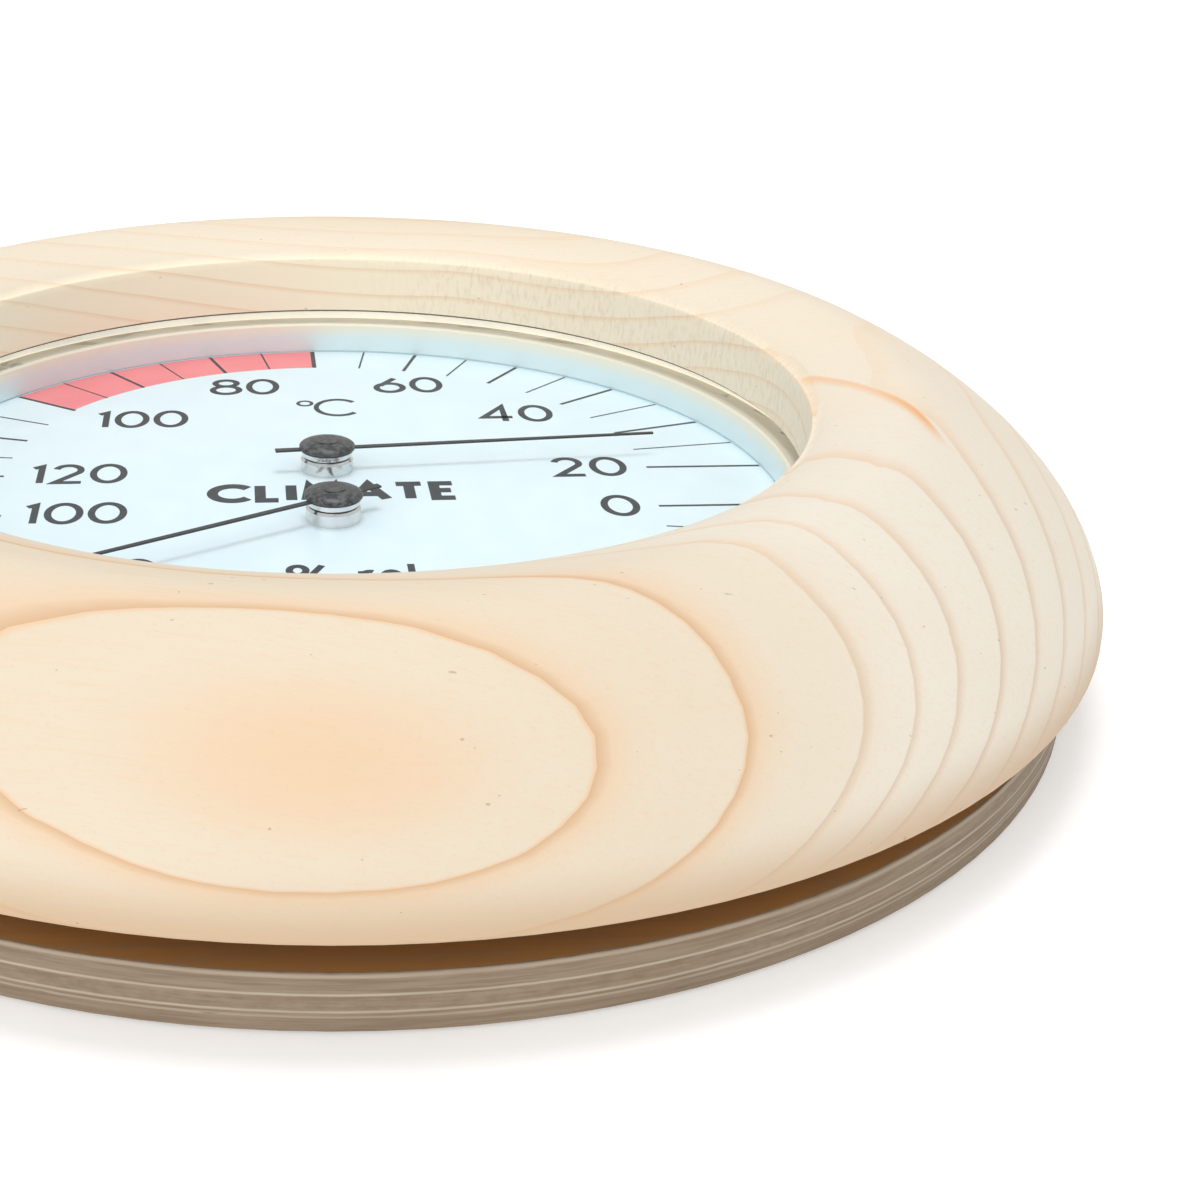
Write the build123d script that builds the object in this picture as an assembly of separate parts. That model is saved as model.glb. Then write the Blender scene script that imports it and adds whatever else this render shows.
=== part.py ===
from build123d import *

import math
import os

# Dial hygrometer with a thermometer on the same dial.
# Millimetres. It lies on its back: origin at the centre of the plywood's rear face,
# +Z out of the dial, +Y towards twelve o'clock.

# back plate
PLY_RADIUS = 77.0
PLY_THICKNESS = 5.35
PLY_EDGE_CHAMFER = 0.3
PLY_OPENING_RADIUS = 44.5
KEYHOLE_ENTRY_RADIUS = 4.5
KEYHOLE_SLOT_RADIUS = 2.3
KEYHOLE_ENTRY_Y = 56.0
KEYHOLE_SLOT_Y = 64.0

# turned front ring
RING_UNDERSIDE_Z = 9.4
RING_OUTER_RADIUS = 79.4
RING_WIDEST_Z = 10.2
RING_EDGE_ROUND = 0.6
RING_CREST_RADIUS = 59.6
RING_CREST_Z = 28.6
RING_FLANK_POWER_R = 1.62
RING_FLANK_POWER_Z = 1.15
RING_LIP_RADIUS = 49.75
RING_LIP_Z = 24.6
RING_LIP_POWER_R = 1.5
RING_LIP_POWER_Z = 1.0
RING_PROFILE_POINTS = 9
RING_TOP_RADIUS = 58.8
RING_TOP_Z = 28.5
RING_FLANK_TRIM = 2
RING_LIP_TRIM = 3
LEDGE_Z = 18.6
REBATE_RADIUS = 52.2

# spacers and screws that hold the ring off the back plate
SPACER_RADIUS = 5.5
SPACER_BORE_RADIUS = 2.1
SPACER_ORBIT = 60.0
SPACER_AZIMUTHS = (45.0, 135.0, 225.0, 315.0)
RING_SCREW_RADIUS = 1.75
RING_SCREW_HEAD_RADIUS = 3.6
RING_SCREW_HEAD_Z = 0.25
RING_SCREW_CONE = 2.1
RING_SCREW_TIP_Z = 20.0
RING_SCREW_HOLE_RADIUS = 1.9

# glazing stack inside the rebate
STACK_RADIUS = 51.9
GASKET_INNER_RADIUS = 50.1
GASKET_THICKNESS = 0.3
GLASS_THICKNESS = 1.4
BEZEL_INNER_RADIUS = 49.0
BEZEL_CHAMFER = 0.25
DIAL_TOP_Z = 13.1
DIAL_THICKNESS = 1.0

# pressed case
CASE_SHEET = 0.8
CASE_WALL_RADIUS = 43.5
CASE_BACK_Z = 1.4
CASE_VENTS = 16
CASE_VENT_RADIUS = 1.5
CASE_VENT_Z = 7.4
CASE_SLOTS = 8
CASE_SLOT_ORBIT = 27.0
CASE_SLOT_LENGTH = 16.0
CASE_SLOT_WIDTH = 3.0

# clips that hold the case in the ring
CLIP_AZIMUTHS = (30.0, 150.0, 270.0)
CLIP_SHEET = 0.8
CLIP_INNER_RADIUS = 46.5
CLIP_FOOT_RADIUS = 51.4
CLIP_OUTER_RADIUS = 62.0
CLIP_WIDTH = 8.0
CLIP_SCREW_ORBIT = 57.0
CLIP_SCREW_RADIUS = 1.4
CLIP_SCREW_HEAD_RADIUS = 2.7
CLIP_SCREW_HEAD = 1.5
CLIP_SCREW_TIP_Z = 15.4
CLIP_HOLE_RADIUS = 1.55

# cross recess cut in every screw head
RECESS_LENGTH = 3.2
RECESS_WIDTH = 0.7
RECESS_DEPTH = 0.8

# the two axes and what turns on them
THERMOMETER_AXIS_Y = 6.6
HYGROMETER_AXIS_Y = -7.7
THERMOMETER_ANGLE = 5.4
HYGROMETER_ANGLE = 210.3
COLLAR_RADIUS = 2.9
COLLAR_HEIGHT = 1.55
COLLAR_SPIGOT_RADIUS = 2.0
COLLAR_SPIGOT_BELOW = 0.6
COLLAR_CHAMFER = 0.25
COLLAR_BORE_RADIUS = 0.80
DIAL_HOLE_RADIUS = 2.03
ARBOR_RADIUS = 0.75
ARBOR_TOP_Z = 16.0
ARBOR_SHOULDER_Z = 5.3
PIVOT_RADIUS = 0.5
PIVOT_TIP_Z = 4.1
HUB_RADIUS = 1.6
HUB_BOTTOM_Z = 9.8
HUB_TOP_Z = 11.1
COLLET_BOTTOM_Z = 14.8
COLLET_RADIUS = 2.8
COLLET_CHAMFER = 0.12
POINTER_BOTTOM_Z = 15.45
POINTER_BOSS_RADIUS = 2.95
POINTER_TOP_Z = 15.65
POINTER_LENGTH = 37.4
POINTER_ROOT_WIDTH = 0.7
POINTER_TIP_WIDTH = 0.4
POINTER_TAIL = 5.8
POINTER_TAIL_WIDTH = 0.85
CAP_RADIUS = 3.1
CAP_TOP_Z = 16.6
CAP_RIM_Z = 15.85

# rear bearing bridge on two pillars
BRIDGE_BOTTOM_Z = 4.2
BRIDGE_THICKNESS = 1.0
BRIDGE_LENGTH = 34.0
BRIDGE_WIDTH = 7.0
BRIDGE_ARM_LENGTH = 24.0
BRIDGE_ARM_WIDTH = 15.6
BRIDGE_CORNER = 1.5
BRIDGE_HOLE_RADIUS = 0.55
PILLAR_OFFSET = 13.5
PILLAR_RADIUS = 1.9
BRIDGE_SCREW_RADIUS = 1.0
BRIDGE_SCREW_HEAD_RADIUS = 1.9
BRIDGE_SCREW_HEAD = 0.9
BRIDGE_SCREW_DEPTH = 4.0
BRIDGE_SCREW_RECESS = 2.4

# helical coils
COIL_RADIUS = 5.0
COIL_STRIP = 0.3
COIL_STRIP_HEIGHT = 0.62
COIL_BOTTOM_Z = 5.9
COIL_TOP_Z = 10.4
COIL_TURNS = 5
COIL_ARM_HEIGHT = 0.5
COIL_ARM_WIDTH = 0.44
COIL_HUB_GAP = 0.05
POST_ORBIT = 5.75
POST_SIDE = 1.2
POST_TOP_Z = 6.6

GLASS_TOP_Z = LEDGE_Z - GASKET_THICKNESS
GLASS_BOTTOM_Z = GLASS_TOP_Z - GLASS_THICKNESS
DIAL_BOTTOM_Z = DIAL_TOP_Z - DIAL_THICKNESS
FLANGE_BOTTOM_Z = DIAL_BOTTOM_Z - CASE_SHEET
BRIDGE_TOP_Z = BRIDGE_BOTTOM_Z + BRIDGE_THICKNESS
THERMOMETER_AXIS = (0.0, THERMOMETER_AXIS_Y)
HYGROMETER_AXIS = (0.0, HYGROMETER_AXIS_Y)


def polar(radius, azimuth):
    """Point at a radius and an azimuth in degrees."""
    angle = math.radians(azimuth)
    return radius * math.cos(angle), radius * math.sin(angle)


def rod(radius, bottom, top, centre=(0.0, 0.0)):
    """Solid cylinder between two heights."""
    shape = Cylinder(radius, top - bottom, align=(Align.CENTER, Align.CENTER, Align.MIN))
    return Pos(centre[0], centre[1], bottom) * shape


def tube(outer, inner, bottom, top, centre=(0.0, 0.0)):
    """Hollow cylinder between two heights."""
    return rod(outer, bottom, top, centre) - rod(inner, bottom, top, centre)


def slab(length, width, bottom, top, centre=(0.0, 0.0), angle=0.0):
    """Rectangular block between two heights, turned about Z."""
    block = Box(length, width, top - bottom, align=(Align.CENTER, Align.CENTER, Align.MIN))
    return Pos(centre[0], centre[1], bottom) * Rot(0, 0, angle) * block


def turned(points):
    """Solid of revolution about Z of a closed outline in radius and height."""
    outline = make_face(Polyline([(r, 0, z) for r, z in points], close=True))
    return revolve(outline, Axis.Z)


def cross_recess(bottom, length, depth, centre, angle=0.0):
    """Cross-shaped cutter in the underside of a screw head."""
    bars = [
        slab(length, RECESS_WIDTH, bottom, bottom + depth, centre, angle + turn)
        for turn in (0.0, 90.0)
    ]
    return bars[0] + bars[1]


def power_curve(start, end, power_r, power_z, from_crest):
    """Points of a superelliptic quarter arc between a widest point and a top."""
    points = []
    for step in range(RING_PROFILE_POINTS):
        angle = math.pi / 2 * step / (RING_PROFILE_POINTS - 1)
        across = math.cos(angle) if not from_crest else math.sin(angle)
        upward = math.sin(angle) if not from_crest else math.cos(angle)
        radius = end[0] + (start[0] - end[0]) * max(across, 0.0) ** power_r
        height = start[1] + (end[1] - start[1]) * max(upward, 0.0) ** power_z
        points.append((radius, 0, height))
    return points


def front_ring():
    """Turned wooden ring, rebated from behind for the instrument."""
    widest = (RING_OUTER_RADIUS, RING_WIDEST_Z)
    crest = (RING_CREST_RADIUS, RING_CREST_Z)
    lip = (RING_LIP_RADIUS, RING_LIP_Z)
    flank = power_curve(widest, crest, RING_FLANK_POWER_R, RING_FLANK_POWER_Z, False)
    inner = power_curve(lip, crest, RING_LIP_POWER_R, RING_LIP_POWER_Z, True)
    # one rounded top takes the place of the points where the two arcs would meet in a ridge
    flank = flank[:-RING_FLANK_TRIM]
    inner = inner[RING_LIP_TRIM:]
    top = (RING_TOP_RADIUS, 0, RING_TOP_Z)
    edge = (RING_OUTER_RADIUS - RING_EDGE_ROUND, 0, RING_UNDERSIDE_Z)
    bore_bottom = (RING_LIP_RADIUS, 0, LEDGE_Z)
    rebate_top = (REBATE_RADIUS, 0, LEDGE_Z)
    rebate_bottom = (REBATE_RADIUS, 0, RING_UNDERSIDE_Z)
    outline = Wire(
        [
            Line(rebate_bottom, edge),
            TangentArc(edge, flank[0], tangent=(1, 0, 0.15)),
            Spline(*flank, top, *inner, tangents=[(0, 0, 1), (0, 0, -1)]),
            Line(inner[-1], bore_bottom),
            Line(bore_bottom, rebate_top),
            Line(rebate_top, rebate_bottom),
        ]
    )
    body = revolve(make_face(outline), Axis.Z)
    for azimuth in SPACER_AZIMUTHS:
        spot = polar(SPACER_ORBIT, azimuth)
        body -= rod(RING_SCREW_RADIUS, RING_UNDERSIDE_Z, RING_SCREW_TIP_Z, spot)
    for azimuth in CLIP_AZIMUTHS:
        spot = polar(CLIP_SCREW_ORBIT, azimuth)
        body -= rod(CLIP_SCREW_RADIUS, RING_UNDERSIDE_Z, CLIP_SCREW_TIP_Z, spot)
    return body


def back_plate():
    """Plywood disc with the case opening, the screw holes and the hanging keyhole."""
    disc = rod(PLY_RADIUS, 0.0, PLY_THICKNESS)
    disc = chamfer(disc.edges().filter_by(GeomType.CIRCLE), PLY_EDGE_CHAMFER)
    disc -= rod(PLY_OPENING_RADIUS, 0.0, PLY_THICKNESS)
    for azimuth in SPACER_AZIMUTHS:
        spot = polar(SPACER_ORBIT, azimuth)
        disc -= rod(RING_SCREW_HOLE_RADIUS, 0.0, PLY_THICKNESS, spot)
        disc -= Pos(spot[0], spot[1], 0) * countersink(0.0)
    slot_length = KEYHOLE_SLOT_Y - KEYHOLE_ENTRY_Y
    slot_centre = (0.0, KEYHOLE_ENTRY_Y + slot_length / 2)
    disc -= rod(KEYHOLE_ENTRY_RADIUS, 0.0, PLY_THICKNESS, (0.0, KEYHOLE_ENTRY_Y))
    disc -= rod(KEYHOLE_SLOT_RADIUS, 0.0, PLY_THICKNESS, (0.0, KEYHOLE_SLOT_Y))
    disc -= slab(2 * KEYHOLE_SLOT_RADIUS, slot_length, 0.0, PLY_THICKNESS, slot_centre)
    return disc


def countersink(bottom):
    """Screw-head cone, open downwards, from a given height."""
    head_top = RING_SCREW_HEAD_Z + RING_SCREW_CONE
    points = [
        (0.0, bottom),
        (RING_SCREW_HEAD_RADIUS, bottom),
        (RING_SCREW_HEAD_RADIUS, RING_SCREW_HEAD_Z),
        (RING_SCREW_RADIUS, head_top),
        (0.0, head_top),
    ]
    if bottom == RING_SCREW_HEAD_Z:
        points.pop(2)
    return turned(points)


def spacers():
    """Four turned spacers that leave the shadow gap."""
    pieces = []
    for azimuth in SPACER_AZIMUTHS:
        spot = polar(SPACER_ORBIT, azimuth)
        pieces.append(tube(SPACER_RADIUS, SPACER_BORE_RADIUS, PLY_THICKNESS, RING_UNDERSIDE_Z, spot))
    return pieces


def ring_screws():
    """Countersunk screws driven from behind into the ring."""
    screws = []
    for azimuth in SPACER_AZIMUTHS:
        spot = polar(SPACER_ORBIT, azimuth)
        shank = rod(RING_SCREW_RADIUS, RING_SCREW_HEAD_Z + RING_SCREW_CONE / 2, RING_SCREW_TIP_Z, spot)
        screw = shank + Pos(spot[0], spot[1], 0) * countersink(RING_SCREW_HEAD_Z)
        screw -= cross_recess(RING_SCREW_HEAD_Z, RECESS_LENGTH, RECESS_DEPTH, spot, azimuth)
        screws.append(screw)
    return screws


def instrument_case():
    """Pressed pan with a flange, wall vents and slots in its back."""
    inner = CASE_WALL_RADIUS - CASE_SHEET
    floor_top = CASE_BACK_Z + CASE_SHEET
    pan = turned(
        [
            (0.0, CASE_BACK_Z),
            (CASE_WALL_RADIUS, CASE_BACK_Z),
            (CASE_WALL_RADIUS, FLANGE_BOTTOM_Z),
            (STACK_RADIUS, FLANGE_BOTTOM_Z),
            (STACK_RADIUS, DIAL_BOTTOM_Z),
            (inner, DIAL_BOTTOM_Z),
            (inner, floor_top),
            (0.0, floor_top),
        ]
    )
    drill = Rot(0, 90, 0) * Cylinder(CASE_VENT_RADIUS, 4 * CASE_SHEET)
    for index in range(CASE_VENTS):
        turn = Rot(0, 0, 360.0 * index / CASE_VENTS)
        pan -= turn * Pos(CASE_WALL_RADIUS, 0, CASE_VENT_Z) * drill
    for index in range(CASE_SLOTS):
        azimuth = 360.0 * (index + 0.5) / CASE_SLOTS
        spot = polar(CASE_SLOT_ORBIT, azimuth)
        pan -= slab(CASE_SLOT_LENGTH, CASE_SLOT_WIDTH, CASE_BACK_Z, floor_top, spot, azimuth)
        for end in (-CASE_SLOT_LENGTH / 2, CASE_SLOT_LENGTH / 2):
            round_end = polar(CASE_SLOT_ORBIT + end, azimuth)
            pan -= rod(CASE_SLOT_WIDTH / 2, CASE_BACK_Z, floor_top, round_end)
    return pan


def case_clips():
    """Three stepped clips under the ring that press the case flange forward."""
    clips = []
    plate_length = CLIP_OUTER_RADIUS - CLIP_INNER_RADIUS
    plate_middle = (CLIP_OUTER_RADIUS + CLIP_INNER_RADIUS) / 2
    foot_length = CLIP_FOOT_RADIUS - CLIP_INNER_RADIUS
    foot_middle = (CLIP_FOOT_RADIUS + CLIP_INNER_RADIUS) / 2
    for azimuth in CLIP_AZIMUTHS:
        bottom = RING_UNDERSIDE_Z - CLIP_SHEET
        clip = slab(plate_length, CLIP_WIDTH, bottom, RING_UNDERSIDE_Z, polar(plate_middle, azimuth), azimuth)
        foot_spot = polar(foot_middle, azimuth)
        clip += slab(foot_length, CLIP_WIDTH, RING_UNDERSIDE_Z, FLANGE_BOTTOM_Z, foot_spot, azimuth)
        hole_spot = polar(CLIP_SCREW_ORBIT, azimuth)
        clip -= rod(CLIP_HOLE_RADIUS, bottom, RING_UNDERSIDE_Z, hole_spot)
        clips.append(clip)
    return clips


def clip_screws():
    """Pan-head screws that hold the clips to the ring."""
    screws = []
    head_top = RING_UNDERSIDE_Z - CLIP_SHEET
    head_bottom = head_top - CLIP_SCREW_HEAD
    for azimuth in CLIP_AZIMUTHS:
        spot = polar(CLIP_SCREW_ORBIT, azimuth)
        screw = rod(CLIP_SCREW_RADIUS, head_top, CLIP_SCREW_TIP_Z, spot)
        screw += rod(CLIP_SCREW_HEAD_RADIUS, head_bottom, head_top, spot)
        screw -= cross_recess(head_bottom, RECESS_LENGTH, RECESS_DEPTH, spot, azimuth)
        screws.append(screw)
    return screws


def bezel_ring():
    """Metal distance ring between the dial and the glass."""
    return turned(
        [
            (BEZEL_INNER_RADIUS + BEZEL_CHAMFER, DIAL_TOP_Z),
            (STACK_RADIUS, DIAL_TOP_Z),
            (STACK_RADIUS, GLASS_BOTTOM_Z),
            (BEZEL_INNER_RADIUS + BEZEL_CHAMFER, GLASS_BOTTOM_Z),
            (BEZEL_INNER_RADIUS, GLASS_BOTTOM_Z - BEZEL_CHAMFER),
            (BEZEL_INNER_RADIUS, DIAL_TOP_Z + BEZEL_CHAMFER),
        ]
    )


def dial_plate():
    """Dial disc with a hole for each collar."""
    disc = rod(STACK_RADIUS, DIAL_BOTTOM_Z, DIAL_TOP_Z)
    for axis in (THERMOMETER_AXIS, HYGROMETER_AXIS):
        disc -= rod(DIAL_HOLE_RADIUS, DIAL_BOTTOM_Z, DIAL_TOP_Z, axis)
    return disc


def collar(axis):
    """Front bearing with a flange on the dial and a spigot through it."""
    top = DIAL_TOP_Z + COLLAR_HEIGHT
    bottom = DIAL_BOTTOM_Z - COLLAR_SPIGOT_BELOW
    body = turned(
        [
            (COLLAR_BORE_RADIUS, bottom),
            (COLLAR_SPIGOT_RADIUS, bottom),
            (COLLAR_SPIGOT_RADIUS, DIAL_TOP_Z),
            (COLLAR_RADIUS, DIAL_TOP_Z),
            (COLLAR_RADIUS, top - COLLAR_CHAMFER),
            (COLLAR_RADIUS - COLLAR_CHAMFER, top),
            (COLLAR_BORE_RADIUS, top),
        ]
    )
    return Pos(axis[0], axis[1], 0) * body


def arbor(axis):
    """Stepped arbor: rear pivot, coil hub and front journal."""
    body = turned(
        [
            (0.0, PIVOT_TIP_Z),
            (PIVOT_RADIUS, PIVOT_TIP_Z),
            (PIVOT_RADIUS, ARBOR_SHOULDER_Z),
            (ARBOR_RADIUS, ARBOR_SHOULDER_Z),
            (ARBOR_RADIUS, HUB_BOTTOM_Z),
            (HUB_RADIUS, HUB_BOTTOM_Z),
            (HUB_RADIUS, HUB_TOP_Z),
            (ARBOR_RADIUS, HUB_TOP_Z),
            (ARBOR_RADIUS, ARBOR_TOP_Z),
            (0.0, ARBOR_TOP_Z),
        ]
    )
    return Pos(axis[0], axis[1], 0) * body


def pointer_collet(axis):
    """Bright disc on the arbor that carries the pointer."""
    body = turned(
        [
            (ARBOR_RADIUS, COLLET_BOTTOM_Z),
            (COLLET_RADIUS - COLLET_CHAMFER, COLLET_BOTTOM_Z),
            (COLLET_RADIUS, COLLET_BOTTOM_Z + COLLET_CHAMFER),
            (COLLET_RADIUS, POINTER_BOTTOM_Z),
            (ARBOR_RADIUS, POINTER_BOTTOM_Z),
        ]
    )
    return Pos(axis[0], axis[1], 0) * body


def pointer(axis, angle):
    """Flat tapered pointer with a short tail and a round boss."""
    thickness = POINTER_TOP_Z - POINTER_BOTTOM_Z
    outline = Polyline(
        [
            (-POINTER_TAIL, -POINTER_TAIL_WIDTH / 2),
            (0, -POINTER_ROOT_WIDTH / 2),
            (POINTER_LENGTH, -POINTER_TIP_WIDTH / 2),
            (POINTER_LENGTH, POINTER_TIP_WIDTH / 2),
            (0, POINTER_ROOT_WIDTH / 2),
            (-POINTER_TAIL, POINTER_TAIL_WIDTH / 2),
        ],
        close=True,
    )
    blade = extrude(make_face(outline), thickness, dir=(0, 0, 1))
    body = Pos(0, 0, POINTER_BOTTOM_Z) * blade + rod(POINTER_BOSS_RADIUS, POINTER_BOTTOM_Z, POINTER_TOP_Z)
    body -= rod(ARBOR_RADIUS, POINTER_BOTTOM_Z, POINTER_TOP_Z)
    return Pos(axis[0], axis[1], 0) * Rot(0, 0, angle) * body


def pointer_cap(axis):
    """Domed cap pressed on the end of the arbor."""
    middle = (0, 0, POINTER_TOP_Z)
    under = (CAP_RADIUS, 0, POINTER_TOP_Z)
    arc = power_curve((CAP_RADIUS, CAP_RIM_Z), (0, CAP_TOP_Z), 1, 1, False)
    dome = Spline(*arc, tangents=[(0, 0, 1), (-1, 0, 0)])
    outline = Wire([Line(middle, under), Line(under, arc[0]), dome, Line(arc[-1], middle)])
    body = revolve(make_face(outline), Axis.Z)
    body -= rod(ARBOR_RADIUS, POINTER_TOP_Z, ARBOR_TOP_Z)
    return Pos(axis[0], axis[1], 0) * body


def movement_bridge():
    """Cross-shaped plate with the two rear bearings."""
    plate = slab(BRIDGE_LENGTH, BRIDGE_WIDTH, BRIDGE_BOTTOM_Z, BRIDGE_TOP_Z)
    plate += slab(BRIDGE_ARM_WIDTH, BRIDGE_ARM_LENGTH, BRIDGE_BOTTOM_Z, BRIDGE_TOP_Z)
    corners = plate.edges().filter_by(Axis.Z)
    plate = fillet(corners, BRIDGE_CORNER)
    for axis in (THERMOMETER_AXIS, HYGROMETER_AXIS):
        plate -= rod(BRIDGE_HOLE_RADIUS, BRIDGE_BOTTOM_Z, BRIDGE_TOP_Z, axis)
    for side in (-1, 1):
        spot = (side * PILLAR_OFFSET, 0.0)
        plate -= rod(BRIDGE_SCREW_RADIUS, BRIDGE_BOTTOM_Z, BRIDGE_TOP_Z, spot)
    return plate


def bridge_pillars():
    """Two pillars between the dial and the bridge."""
    pillars = []
    for side in (-1, 1):
        spot = (side * PILLAR_OFFSET, 0.0)
        pillar = rod(PILLAR_RADIUS, BRIDGE_TOP_Z, DIAL_BOTTOM_Z, spot)
        pillar -= rod(BRIDGE_SCREW_RADIUS, BRIDGE_TOP_Z, BRIDGE_TOP_Z + BRIDGE_SCREW_DEPTH, spot)
        pillars.append(pillar)
    return pillars


def bridge_screws():
    """Screws through the bridge into the pillars."""
    screws = []
    head_bottom = BRIDGE_BOTTOM_Z - BRIDGE_SCREW_HEAD
    for side in (-1, 1):
        spot = (side * PILLAR_OFFSET, 0.0)
        screw = rod(BRIDGE_SCREW_RADIUS, BRIDGE_BOTTOM_Z, BRIDGE_TOP_Z + BRIDGE_SCREW_DEPTH, spot)
        screw += rod(BRIDGE_SCREW_HEAD_RADIUS, head_bottom, BRIDGE_BOTTOM_Z, spot)
        screw -= cross_recess(head_bottom, BRIDGE_SCREW_RECESS, BRIDGE_SCREW_HEAD / 2, spot)
        screws.append(screw)
    return screws


def coil(axis, side):
    """Helical strip with an arm to the hub on top and a tail to the post below."""
    height = COIL_TOP_Z - COIL_BOTTOM_Z
    path = Helix(height / COIL_TURNS, height, COIL_RADIUS)
    section = Plane(origin=path @ 0, z_dir=path % 0, x_dir=(1, 0, 0)) * Rectangle(
        COIL_STRIP, COIL_STRIP_HEIGHT
    )
    strip = sweep(section, path=path, is_frenet=True)
    half = COIL_ARM_HEIGHT / 2
    arm_start = HUB_RADIUS + COIL_HUB_GAP
    arm_length = COIL_RADIUS - arm_start
    arm_centre = (arm_start + arm_length / 2, 0.0)
    arm = slab(arm_length, COIL_ARM_WIDTH, height - half, height + half, arm_centre)
    tail_length = POST_ORBIT - POST_SIDE / 2 - COIL_RADIUS
    tail_centre = (COIL_RADIUS + tail_length / 2, 0.0)
    tail = slab(tail_length, COIL_ARM_WIDTH, -half, half, tail_centre)
    body = strip + arm + tail
    turn = 0.0 if side > 0 else 180.0
    return Pos(axis[0], axis[1], COIL_BOTTOM_Z) * Rot(0, 0, turn) * body


def coil_post(axis, side):
    """Anchor post on the bridge that holds the outer end of a coil."""
    spot = (axis[0] + side * POST_ORBIT, axis[1])
    return slab(POST_SIDE, POST_SIDE, BRIDGE_TOP_Z, POST_TOP_Z, spot)


def save(name, shape):
    """Write one named piece, or a group of separate solids, to its own file."""
    if isinstance(shape, list):
        shape = Compound(children=shape)
    shape.label = name
    export_step(shape, os.path.join("parts", name + ".step"))


def main():
    """Build and write every piece."""
    os.makedirs("parts", exist_ok=True)
    glass_gasket = tube(STACK_RADIUS, GASKET_INNER_RADIUS, GLASS_TOP_Z, LEDGE_Z)
    save("front_ring", front_ring())
    save("back_plate", back_plate())
    save("ring_spacers", spacers())
    save("ring_screws", ring_screws())
    save("glass_gasket", glass_gasket)
    save("glass_pane", rod(STACK_RADIUS, GLASS_BOTTOM_Z, GLASS_TOP_Z))
    save("bezel_ring", bezel_ring())
    save("dial_plate", dial_plate())
    save("instrument_case", instrument_case())
    save("case_clips", case_clips())
    save("clip_screws", clip_screws())
    save("movement_bridge", movement_bridge())
    save("bridge_pillars", bridge_pillars())
    save("bridge_screws", bridge_screws())
    movements = (
        ("thermometer", THERMOMETER_AXIS, THERMOMETER_ANGLE, 1),
        ("hygrometer", HYGROMETER_AXIS, HYGROMETER_ANGLE, -1),
    )
    for name, axis, angle, side in movements:
        save(name + "_collar", collar(axis))
        save(name + "_arbor", arbor(axis))
        save(name + "_collet", pointer_collet(axis))
        save(name + "_pointer", pointer(axis, angle))
        save(name + "_cap", pointer_cap(axis))
        save(name + "_coil", coil(axis, side))
        save(name + "_coil_post", coil_post(axis, side))


main()
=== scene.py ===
from dataclasses import dataclass, field
from enum import Enum
import logging
import math
from typing import Callable, Sequence, Union

import bmesh
import bpy
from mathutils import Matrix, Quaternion, Vector


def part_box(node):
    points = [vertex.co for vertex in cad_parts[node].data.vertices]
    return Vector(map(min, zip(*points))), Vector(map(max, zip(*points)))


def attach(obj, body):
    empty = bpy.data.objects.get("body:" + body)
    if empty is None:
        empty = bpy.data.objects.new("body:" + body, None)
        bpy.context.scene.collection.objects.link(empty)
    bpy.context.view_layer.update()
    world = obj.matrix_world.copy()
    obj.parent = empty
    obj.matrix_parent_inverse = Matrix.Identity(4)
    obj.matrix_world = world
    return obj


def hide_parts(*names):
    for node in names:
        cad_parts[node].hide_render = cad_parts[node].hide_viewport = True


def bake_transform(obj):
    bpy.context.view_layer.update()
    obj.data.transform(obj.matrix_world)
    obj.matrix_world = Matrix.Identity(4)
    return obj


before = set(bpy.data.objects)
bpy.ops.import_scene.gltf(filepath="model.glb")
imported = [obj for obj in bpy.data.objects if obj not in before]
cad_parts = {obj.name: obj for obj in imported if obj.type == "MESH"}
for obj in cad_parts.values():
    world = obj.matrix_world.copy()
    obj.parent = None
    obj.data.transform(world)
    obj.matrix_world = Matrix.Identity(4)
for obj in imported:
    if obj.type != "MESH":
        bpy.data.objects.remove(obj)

LOG = logging.getLogger("dial_hygrometer")
MM = 0.001
BODY = "housing"
MITRE_LIMIT = 0.35
Colour = tuple[float, float, float]
Point = tuple[float, float]
Span = tuple[float, float]
Label = tuple[str, Point]
Place = tuple[float, float, float]
Spot = tuple["Sock", "Sock", "Sock"]
Lamp = tuple[str, Place, float, float]
Value = Union[float, int, Colour, "Sock"]


class Sock:
    """One node output that takes part in arithmetic and adds Math nodes as it goes."""

    def __init__(self, board: "Board", out: bpy.types.NodeSocket) -> None:
        """Keeps the board and the socket."""
        self.board = board
        self.out = out

    def __add__(self, other: Value) -> "Sock":
        """Sum."""
        return self.board.maths("ADD", self, other)

    __radd__ = __add__

    def __sub__(self, other: Value) -> "Sock":
        """Difference."""
        return self.board.maths("SUBTRACT", self, other)

    def __rsub__(self, other: Value) -> "Sock":
        """Reflected difference."""
        return self.board.maths("SUBTRACT", other, self)

    def __mul__(self, other: Value) -> "Sock":
        """Product."""
        return self.board.maths("MULTIPLY", self, other)

    __rmul__ = __mul__

    def __truediv__(self, other: Value) -> "Sock":
        """Quotient."""
        return self.board.maths("DIVIDE", self, other)

    def __rtruediv__(self, other: Value) -> "Sock":
        """Reflected quotient."""
        return self.board.maths("DIVIDE", other, self)

    def __pow__(self, other: Value) -> "Sock":
        """Power."""
        return self.board.maths("POWER", self, other)

    def __abs__(self) -> "Sock":
        """Absolute value."""
        return self.board.maths("ABSOLUTE", self)

    def __mod__(self, other: Value) -> "Sock":
        """Remainder, never negative."""
        return self.board.maths("FLOORED_MODULO", self, other)


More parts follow.
